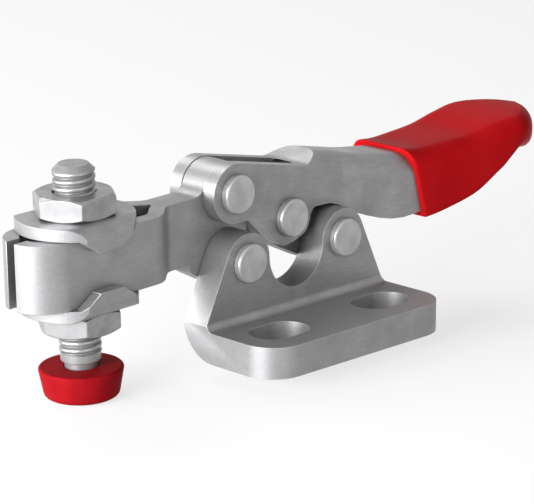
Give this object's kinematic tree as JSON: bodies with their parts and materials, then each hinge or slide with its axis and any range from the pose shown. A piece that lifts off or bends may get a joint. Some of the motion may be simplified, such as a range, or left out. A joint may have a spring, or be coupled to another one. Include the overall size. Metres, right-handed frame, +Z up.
{
  "type": "toggle clamp",
  "caption": "Small horizontal hold-down toggle clamp with a folded open bar, rubber-tipped spindle, side flange with slots and a sleeved lever handle, shown locked.",
  "frame": {"origin": "midway between the two mounting slots, on the mounting face of the base", "axes": "+X along the clamp towards the handle, +Y across it away from the mounting flange, +Z up off the mounting face"},
  "size_m": [0.0694, 0.0192, 0.0226],
  "materials": {
    "plated_steel": "satin zinc-plated sheet steel",
    "rivet_steel": "satin plated steel, turned heads",
    "screw_steel": "satin zinc-plated steel",
    "grip_vinyl": "smooth red vinyl, low gloss",
    "cap_rubber": "matt red rubber"
  },
  "bodies": {
    "base": {"base": "plated_steel", "rivet_bar_base": "rivet_steel", "rivet_link_base": "rivet_steel"},
    "bar": {"bar": "plated_steel"},
    "handle": {"handle": "plated_steel", "grip": "grip_vinyl", "rivet_handle_bar": "rivet_steel", "rivet_handle_link": "rivet_steel"},
    "link": {"link": "plated_steel"},
    "carriage": {"upper_nut": "screw_steel", "lower_nut": "screw_steel", "upper_washer": "plated_steel", "lower_washer": "plated_steel"},
    "spindle": {"spindle": "screw_steel", "spindle_cap": "cap_rubber"}
  },
  "joints": [
    {"name": "bar_pivot", "type": "hinge", "parent": "base", "child": "bar", "pos_m": [-0.00676, 0.00905, 0.00885], "axis": [0, 1, 0], "range_deg": [0, 80]},
    {"name": "handle_pivot", "type": "hinge", "parent": "bar", "child": "handle", "pos_m": [-0.00682, 0.00905, 0.01532], "axis": [0, 1, 0], "range_deg": [-147.2, 0]},
    {"name": "link_pivot", "type": "hinge", "parent": "base", "child": "link", "pos_m": [0.00632, 0.00905, 0.00885], "axis": [0, 1, 0], "range_deg": [0, 60.8]},
    {"name": "spindle_slide", "type": "slide", "parent": "bar", "child": "carriage", "axis": [0.9996, 0, 0.0276], "range_m": [-0.0038, 0.0018]},
    {"name": "spindle_height", "type": "slide", "parent": "carriage", "child": "spindle", "axis": [-0.0276, 0, 0.9996], "range_m": [-0.0025, 0.001]}
  ],
  "couplings": [
    {"joint": "handle_pivot", "follows": "bar_pivot", "ratio": -1.84},
    {"joint": "link_pivot", "follows": "bar_pivot", "ratio": 0.76}
  ]
}
